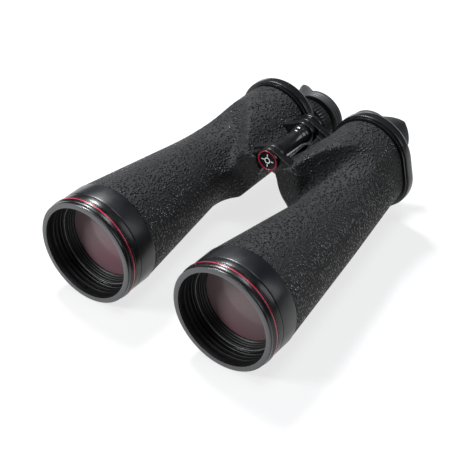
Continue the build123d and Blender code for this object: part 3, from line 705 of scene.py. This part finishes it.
def softMax(first, second, width):
    near = np.clip(width - np.abs(first - second), 0, None)
    return np.maximum(first, second) + near * near / (4 * np.maximum(width, 1e-6))


def softMin(first, second, width):
    return -softMax(-first, -second, width)


def outlineDistance(flat, circles, barrel=None):
    # barrel gives the radius of one more circle for each point, on the barrel's axis
    turns = np.linspace(0, 2 * np.pi, 120, endpoint=False)
    ways = np.stack([np.cos(turns), np.sin(turns)])
    reach = np.max([x * ways[0] + z * ways[1] + radius for x, z, radius in circles], axis=0)
    if barrel is not None:
        reach = np.maximum(reach[None, :], barrelX / mm * ways[0][None, :] + barrel[:, None])
    return np.max(flat @ ways - reach, axis=1)


def tubeField(place):
    return np.hypot(place[:, 0] - barrelX / mm, place[:, 2]) - tubeRadiusAt(place[:, 1])


def housingField(place):
    h = housingSet
    x, station, z = h["wallPoint"]
    wall = (place[:, 0] - x) * h["slopeX"] - (place[:, 1] - station) + (place[:, 2] - z) * h["slopeZ"]
    wall = wall / math.sqrt(h["slopeX"] ** 2 + 1 + h["slopeZ"] ** 2)
    side = outlineDistance(place[:, [0, 2]], h["circles"])
    slant = h["underSlant"]
    under = (-place[:, 2] - h["underStart"] - slant * (place[:,
                                                             1] - h["front"])) / math.sqrt(1 + slant * slant)
    body = softMax(softMax(side, wall, h["ridge"]), under, h["underBlend"])
    return softMax(body, h["front"] - place[:, 1], h["frontBlend"])


def webShapes():
    # outline, first and last station, and the hinge's clearance of each web
    a, h = armSet, housingSet
    return [(h["webs"], a["frontWeb"], a["clear"]), (h["midWebs"], a["midWeb"], a["midClear"]),
            (h["webs"], a["rearWeb"], a["rearClear"])]


def webField(place):
    off = np.hypot(place[:, 0], place[:, 2] - (hingeZ - barrelZ) / mm)
    webs = []
    for circles, (start, end), clear in webShapes():
        side = outlineDistance(place[:, [0, 2]], circles)
        web = softMax(side, np.maximum(start - 1.0 - place[:, 1], place[:, 1] - end - 0.5), 3.0)
        webs.append(softMax(web, clear + armSet["skinGap"] - off, 1.5))
    return np.minimum.reduce(webs)


def slopeOf(field, place):
    here = field(place)
    reach = 0.05
    return np.stack([field(place + step) - here for step in np.eye(3) * reach], axis=1) / reach


def bodyField(place):
    # the valley between tube and housing is filled, but never past the hull of the two outlines
    h = housingSet
    growth = np.clip((place[:, 0] - h["valleyStart"]) / h["valleyLength"], 0, 1)
    width = h["valley"] + h["valleyGrowth"] * growth
    filled = softMin(tubeField(place), housingField(place), width)
    hull = outlineDistance(place[:, [0, 2]], h["circles"], tubeRadiusAt(place[:, 1]))
    return softMin(np.maximum(filled, hull), webField(place), h["webBlend"])


def fitToForm(shell, inset, rounds):
    # each vertex slides to the smooth outer form, moved in by the inset
    count = len(shell.data.vertices)
    flat = np.empty(count * 3)
    shell.data.vertices.foreach_get("co", flat)
    place = flat.reshape(-1, 3) / mm
    place[:, 1] -= frontY / mm
    place[:, 2] -= barrelZ / mm
    for _ in range(rounds):
        off = bodyField(place) + inset
        slope = slopeOf(bodyField, place)
        size = np.maximum(np.sum(slope * slope, axis=1), 0.3)
        move = np.clip(off / size, -3.0, 3.0)
        place = place - slope * move[:, None]
    place[:, 1] += frontY / mm
    place[:, 2] += barrelZ / mm
    shell.data.vertices.foreach_set("co", (place * mm).reshape(-1))
    shell.data.update()


def cutWith(piece, cutter):
    only(piece)
    cut = piece.modifiers.new("cut", "BOOLEAN")
    cut.operation = "DIFFERENCE"
    cut.object = cutter
    cut.solver = "EXACT"
    bpy.ops.object.modifier_apply(modifier=cut.name)
    bpy.data.objects.remove(cutter)


def drill(piece, radius, start, end, count):
    # a hole round the hinge's axis, from before the start station to past the end one
    over = 3
    cutWith(piece, turnedPiece("hole", [(radius, start - over), (radius, end + over)], 0, hingeZ, count,
                               False))


def bodyShell(name, inset, voxel):
    h = housingSet
    count = 160
    stations = [coveringStart - 14, coveringStart, 60, 90, 120, h["neckStation"], 175, 200]
    profile = [(float(tubeRadiusAt(s)) - inset, s) for s in stations]
    tube = turnedPiece("tubeForm", profile, barrelX, barrelZ, count, False)
    rear = h["end"] + 12
    block = ringStack("housingForm", [outlineRing(h["circles"], -inset, s, count)
                                      for s in (h["front"] + inset, 185, 210, rear)])
    only(block)
    bpy.ops.object.mode_set(mode="EDIT")
    bpy.ops.mesh.select_all(action="SELECT")
    x, station, z = h["wallPoint"]
    normal = Vector((-h["slopeX"], 1, -h["slopeZ"])).normalized()
    spot = Vector((x * mm, frontY + station * mm, barrelZ + z * mm)) + normal * inset * mm
    bpy.ops.mesh.bisect(plane_co=spot, plane_no=normal, use_fill=True, clear_inner=True)
    bpy.ops.object.mode_set(mode="OBJECT")
    webs = []
    for circles, (start, end), clear in webShapes():
        web = ringStack("webForm", [outlineRing(circles, -inset, s, 96) for s in (start, end)])
        drill(web, clear + armSet["skinGap"], start, end, 96)
        webs.append(web)
    shell = joinPieces(name, [tube, block] + webs)
    for size, rounds in ((4.0, 8), (3.0, 8), (2.2, 6), (voxel, 5)):
        # the coarse rounds close the deep valley, the last one makes the fine surface
        only(shell)
        remesh = shell.modifiers.new("remesh", "REMESH")
        remesh.mode = "VOXEL"
        remesh.voxel_size = size * mm
        bpy.ops.object.modifier_apply(modifier=remesh.name)
        fitToForm(shell, inset, rounds)
    bpy.ops.object.mode_set(mode="EDIT")
    bpy.ops.mesh.select_all(action="SELECT")
    bpy.ops.mesh.vertices_smooth(factor=0.5, repeat=2)
    for place, keep in ((coveringStart, -1), (coveringEnd, 1)):
        bpy.ops.mesh.select_all(action="SELECT")
        bpy.ops.mesh.bisect(plane_co=(0, frontY + place * mm, 0), plane_no=(0, keep, 0), clear_outer=True)
    bpy.ops.object.mode_set(mode="OBJECT")
    return shell


def thicken(shell, thickness):
    only(shell)
    wall = shell.modifiers.new("wall", "SOLIDIFY")
    wall.thickness = thickness * mm
    wall.offset = -1
    bpy.ops.object.modifier_apply(modifier=wall.name)


armSet = {
    "hinge": (0.0, 35.0), "web": [(22.0, 24.4, 7.6), (24.0, 9.0, 6.6), (9.0, 31.6, 7.4)],
    "root": (20.0, 27.5, 8.6),
    "clear": 12.6, "rearClear": 14.1, "knuckle": 10.3, "rearKnuckle": 10.9, "edge": 0.9,
    "frontWeb": (160.0, 174.0), "midWeb": (172.0, 214.5), "rearWeb": (212.5, 225.1), "midClear": 11.0,
    "leftKnuckles": (161.4, 219.1), "rightKnuckles": (167.7, 212.8), "knuckleWidth": 6.0, "bore": 6.05,
    "skinGap": 0.9,
}


def softBlock(name, circles, start, end, edge):
    margins = [(-edge, start), (-edge * 0.62, start + edge * 0.08), (-edge * 0.29, start + edge * 0.29),
               (-edge * 0.08, start + edge * 0.62), (0, start + edge)]
    rings = [outlineRing(circles, m, s, 96) for m, s in margins]
    rings += [outlineRing(circles, m, start + end - s, 96) for m, s in reversed(margins)]
    return ringStack(name, rings)


def makeArms(side):
    a = armSet
    frontKnuckle, rearKnuckle = a[side + "Knuckles"]
    pieces = []
    for (start, end), clear, radius, knuckle in (
            (a["frontWeb"], a["clear"], a["knuckle"], frontKnuckle),
            (a["rearWeb"], a["rearClear"], a["rearKnuckle"], rearKnuckle)):
        web = softBlock(side + "Web", a["web"], start + 1.2, end - 1.0, a["edge"])
        drill(web, clear, start, end, 96)
        circles = [(*a["hinge"], radius), a["root"]]
        disc = softBlock(side + "Knuckle", circles, knuckle, knuckle + a["knuckleWidth"], 0.5)
        drill(disc, a["bore"], start, end, 64)
        pieces += [web, disc]
    return pieces


def makeBodies():
    h = housingSet
    shell = bodyShell("leftBodyCovering", 0.0, h["voxel"])
    casting = bodyShell("leftCasting", h["castingInset"], h["castingVoxel"])
    thicken(casting, h["castingWall"])
    thicken(shell, h["thickness"])
    smoothShade(shell, 60)
    smoothShade(casting, 40)
    rightCasting = mirrored(casting, "rightCasting")
    pairUp(shell, "half", "body_covering", "covering")
    for side, base in (("left", casting), ("right", rightCasting)):
        arms = makeArms(side)
        if side == "right":
            arms = [mirrorInPlace(arm) for arm in arms]
        whole = joinPieces(side + "PrismHousing", [base] + arms)
        smoothShade(whole, 32)
        settle(whole, side + "_half", [side + "_prism_housing"], "castingPaint")


makeCollars()
print("collars are made")
makeBodies()
print("coverings, castings and hinge arms are made")


# The rear covers and their screws.
coverSet = {"land": 17.0, "hole": 15.6, "edge": 1.6, "lip": 2.2, "band": 3.6, "inner": -1.8, "wall": 2.5,
            "count": 256}


def coverRing(margin, station):
    # the outline never comes closer to the eyepiece than the land round its hole
    c = coverSet
    land = (eyeX / mm, (eyeZ - barrelZ) / mm, max(c["land"], c["hole"] + c["edge"] - margin))
    return outlineRing(housingSet["circles"] + [land], margin, station, c["count"])


def makeCovers():
    c = coverSet
    a, b = coverStart, coverEnd
    lip, band = c["lip"], c["band"]
    steps = [(0.4, a), (lip - 0.3, a), (lip, a + 0.3), (lip, a + 1.5), (lip - 0.3, a + 1.8),
             (lip - 0.8, a + 1.9), (lip - 0.8, a + 2.6), (band - 0.5, a + 2.7), (band - 0.1, a + 3.0),
             (band, a + 3.6), (band, a + 9.0), (band - 0.4, a + 10.6), (band - 1.4, a + 12.1),
             (band - 3.1, a + 13.3), (band - 5.3, a + 13.85), (band - 7.4, b)]
    rings = [coverRing(margin, station) for margin, station in steps]
    for radius, station in ((c["hole"] + 1.2, b), (c["hole"], b), (c["hole"], b - c["wall"])):
        rings.append(circleRing(eyeX, eyeZ, radius, station, c["count"]))
    rings += [coverRing(c["inner"], b - c["wall"]), coverRing(c["inner"], a), rings[0]]
    cover = ringStack("leftRearCover", rings, True)
    roundEdges(cover, 0.08, 1, 50)
    smoothShade(cover, 35)
    pairUp(cover, "half", "rear_cover", "coverPaint")


screwSet = {"head": 2.6, "shank": 1.5, "height": 1.6, "length": 9.0, "key": 1.15}


def hexWave(size):
    def wave(angle):
        turn = (angle + math.pi / 6) % (math.pi / 3) - math.pi / 6
        return size * (0.866 / math.cos(turn) - 0.94)
    return wave


def makeScrews():
    s = screwSet
    head, shank = s["head"], s["shank"]
    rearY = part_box("left_cover_screws")[1][1]
    node = frame["nodes"]["left_cover_screws"]
    heads = {}
    for vert in node.data.vertices:
        if vert.co.y > rearY - 0.1 * mm:
            spot = next((k for k in heads if math.hypot(k[0] - vert.co.x, k[1] - vert.co.z) < 6 * mm), None)
            heads.setdefault(spot or (vert.co.x, vert.co.z), []).append(vert.co.copy())
    pieces = []
    for places in heads.values():
        x = (min(p.x for p in places) + max(p.x for p in places)) / 2
        z = (min(p.z for p in places) + max(p.z for p in places)) / 2
        base, top = coverEnd, coverEnd + s["height"]
        foot = base - s["length"]
        body = [(0, foot + 0.6), (shank - 0.5, foot + 0.6), (shank, foot + 1.2), (shank, base), (head, base),
                (head, base + 0.6), (head - 0.25, base + 1.1), (head - 0.8, base + 1.45), (head - 1.15, top)]
        rings = [circleRing(x, z, radius, station, 24) for radius, station in body]
        rings += [circleRing(x, z, s["key"], station, 24, hexWave(s["key"])) for station in (top,
                                                                                             base + 0.5)]
        rings.append(circleRing(x, z, 0, base + 0.35, 24))
        pieces.append(ringStack("screw", rings, False, False))
    screws = joinPieces("leftCoverScrews", pieces)
    smoothShade(screws, 35)
    pairUp(screws, "half", "cover_screws", "screwSteel")


makeCovers()
makeScrews()
print("rear covers and screws are made")


# The focus rings and eyecups.
focusSet = {"outer": 24.0, "bore": 17.35, "ribs": 48, "depth": 0.8, "count": 384}


def ribWave(angle):
    turn = (angle * focusSet["ribs"] / (2 * math.pi)) % 1.0
    share = min(max((abs(turn - 0.5) - 0.2) / 0.12, 0), 1)
    return -focusSet["depth"] * share * share * (3 - 2 * share)


def makeFocusRings():
    f = focusSet
    a, b = ringStart, ringEnd
    bore, tip = f["bore"], f["outer"]
    plain = tip - 0.75
    frontPart = [(bore, a, None), (plain - 0.5, a, None), (plain, a + 0.45, None), (plain, a + 1.1, None),
                 (tip - 0.35, a + 1.3, ribWave), (tip - 0.02, a + 1.7, ribWave)]
    rearPart = [(tip - 0.02, b - 1.7, ribWave), (tip - 0.35, b - 1.3, ribWave), (plain, b - 1.1, None),
                (plain, b - 0.45, None), (plain - 0.5, b, None), (bore, b, None)]
    rings = [circleRing(eyeX, eyeZ, r, s, f["count"], wave) for r, s, wave in frontPart + rearPart]
    band = ringStack("leftFocusRing", rings + rings[:1], True)
    smoothShade(band, 32)
    pairUp(band, "focus_ring", "focus_ring", "ringPaint")


cupSet = {
    "seat": 19.25, "outer": 25.1, "mouth": 21.9, "floor": 17.45, "depth": 11.0, "reach": 8.4, "angle": 11.0,
    "spread": 52.0, "count": 180,
}


def wingShare(angle):
    c = cupSet
    off = abs((angle - math.radians(c["angle"]) + math.pi) % (2 * math.pi) - math.pi)
    tip = c["outer"] + c["reach"]
    start = c["mouth"] * math.cos(math.radians(c["spread"]))
    low, high = 0.0, 1.0
    for _ in range(24):
        # the share at which the flared wall meets the wing's straight side
        share = (low + high) / 2
        if (c["outer"] + c["reach"] * share) * math.cos(off) > start + (tip - 3.0 - start) * share:
            low = share
        else:
            high = share
    return low if off < math.pi / 2 else 0.0


def cupRing(radius, station, flare, lift):
    c = cupSet
    ring = []
    for index in range(c["count"]):
        angle = 2 * math.pi * index / c["count"]
        share = wingShare(angle)
        reach = (radius + flare * share) * mm
        ring.append((eyeX + reach * math.cos(angle), frontY + (station + lift * share) * mm,
                     eyeZ + reach * math.sin(angle)))
    return ring


def makeEyecups():
    c = cupSet
    s = cupStart
    e = s + c["depth"]
    lift = wingTip - e - 0.02
    flare = c["reach"] - 0.05
    o, m = c["outer"], c["mouth"]
    seat = c["seat"] + 0.03
    outside = [(seat, s + 0.1), (o - 1.3, s), (o - 0.5, s + 0.15), (o - 0.1, s + 0.6), (o, s + 1.2),
               (o, s + 2.4),
               (o - 0.45, s + 2.8), (o - 0.45, s + 3.4), (o, s + 3.8), (o, s + 5.2), (o - 0.45, s + 5.6),
               (o - 0.45, s + 6.2), (o, s + 6.6)]
    # radius, station, and how far the wing carries that ring outwards and back
    wing = [(o, e - 2.6, 0.9, 0.6), (o, e - 1.3, flare * 0.42, lift * 0.38),
            (o, e - 0.75, flare * 0.72, lift * 0.68), (o - 0.05, e - 0.4, flare * 0.93, lift * 0.92),
            (o - 0.45, e - 0.08, flare * 0.97, lift * 0.985), (o - 0.95, e, flare * 0.93, lift),
            (m + 0.9, e - 0.05, flare * 0.86, lift * 0.985), (m + 0.35, e - 0.45, flare * 0.78, lift * 0.9),
            (m + 0.05, e - 1.0, flare * 0.52, lift * 0.62), (m - 0.15, e - 1.7, flare * 0.22, lift * 0.3),
            (m - 0.5, e - 2.8, 0.25, 0.2)]
    inside = [(m - 2.2, s + 7.6), (c["floor"] + 0.15, s + 7.2), (c["floor"], s + 6.5), (c["floor"], s + 6.0),
              (seat, s + 5.9)]
    rings = [cupRing(radius, station, 0, 0) for radius, station in outside]
    rings += [cupRing(*row) for row in wing]
    rings += [cupRing(radius, station, 0, 0) for radius, station in inside]
    cup = ringStack("leftEyecup", rings + rings[:1], True)
    smoothShade(cup, 50)
    pairUp(cup, "eyecup", "eyecup", "eyecupRubber")


makeFocusRings()
makeEyecups()
print("focus rings and eyecups are made")


# The hinge, its cap and its nut.
hingeSet = {
    "tube": 8.0, "bore": 6.05, "nut": 12.4, "slotPlace": 11.2, "slotSize": (4.4, 2.2, 2.0), "cap": 10.6,
    "capRing": 9.5, "capRingInner": 8.5, "spigot": 4.2,
}


def cubeAt(x, station, z, size):
    # x and z are in mm from the hinge's axis
    bpy.ops.object.select_all(action="DESELECT")
    bpy.ops.mesh.primitive_cube_add(size=1, location=(x * mm, frontY + station * mm, hingeZ + z * mm),
                                    scale=tuple(wide * mm for wide in size))
    return bpy.context.object


def makeHinge():
    h = hingeSet
    bore = h["bore"]
    a, b = tubeStart, tubeEnd
    t = h["tube"]
    profile = [(bore, a), (t - 0.5, a), (t, a + 0.5), (t, a + 2.6), (t - 0.7, a + 3.0), (t - 0.7, b - 9.2),
               (t, b - 8.9), (t, b - 5.0), (t + 0.9, b - 4.6), (t + 1.0, b - 0.5), (t + 0.6, b), (bore, b)]
    sleeve = turnedPiece("hingeTube", profile + profile[:1], 0, hingeZ, 96)
    roundEdges(sleeve, 0.15, 2, 30)
    smoothShade(sleeve, 35)
    settle(sleeve, "left_half", ["hinge_tube"], "hingePaint")
    a, b = nutStart, nutEnd
    n = h["nut"]
    profile = [(bore, a), (n - 0.6, a), (n, a + 0.5), (n, b - 1.3), (n - 0.9, b - 0.3), (n - 1.8, b),
               (n - 3.0, b), (n - 3.4, b - 0.5), (bore + 0.8, b - 0.5), (bore + 0.4, b - 0.1),
               (bore, b - 0.1)]
    nut = turnedPiece("hingeNut", profile + profile[:1], 0, hingeZ, 96)
    for sign in (-1, 1):
        cutWith(nut, cubeAt(sign * h["slotPlace"], b - 0.4, 0, h["slotSize"]))
    roundEdges(nut, 0.12, 1, 35)
    smoothShade(nut, 35)
    settle(nut, "left_half", ["hinge_nut"], "hingePaint")


def makeCap():
    h = hingeSet
    a, c = capStart, h["cap"]
    i, o = h["capRingInner"], h["capRing"]
    profile = [(0, a + 0.22), (i - 0.25, a + 0.22), (i - 0.05, a + 0.45), (i, a + 0.62), (o, a + 0.62),
               (o, a + 0.15), (o + 0.12, a), (c - 0.3, a), (c - 0.05, a + 0.25), (c, a + 0.7), (c, a + 2.1),
               (c - 0.3, a + 2.38), (h["spigot"], a + 2.4), (h["spigot"], a + 4.9), (0, a + 4.9)]
    cap = turnedPiece("hingeCap", profile, 0, hingeZ, 96, False)
    smoothShade(cap, 30)
    settle(cap, "hinge_cap", ["hinge_cap"], "capEnamel")
    profile = [(i + 0.04, a + 0.61), (i + 0.04, a + 0.2), (i + 0.2, a + 0.08), (o - 0.2, a + 0.08),
               (o - 0.04, a + 0.2), (o - 0.04, a + 0.61)]
    band = turnedPiece("capRedRing", profile + profile[:1], 0, hingeZ, 96)
    smoothShade(band, 35)
    settle(band, "hinge_cap", ["cap_red_ring"], "crimsonEnamel")
    # a plain mark: a small ring with four bars round it
    profile = [(2.1, a + 0.2), (2.1, a + 0.16), (2.9, a + 0.16), (2.9, a + 0.2)]
    pieces = [turnedPiece("mark", profile + profile[:1], 0, hingeZ, 48)]
    for x, z, wide, high in ((-4.9, 0, 2.4, 0.8), (4.9, 0, 2.4, 0.8), (0, -4.9, 0.8, 2.4),
                             (0, 4.9, 0.8, 2.4)):
        pieces.append(cubeAt(x, a + 0.19, z, (wide, 0.06, high)))
        bpy.ops.object.transform_apply(location=True, rotation=True, scale=True)
    mark = joinPieces("capMark", pieces)
    bpy.ops.object.transform_apply(location=True, rotation=True, scale=True)
    settle(mark, "hinge_cap", [], "whiteEnamel")


makeHinge()
makeCap()
print("hinge, cap and mark are made")
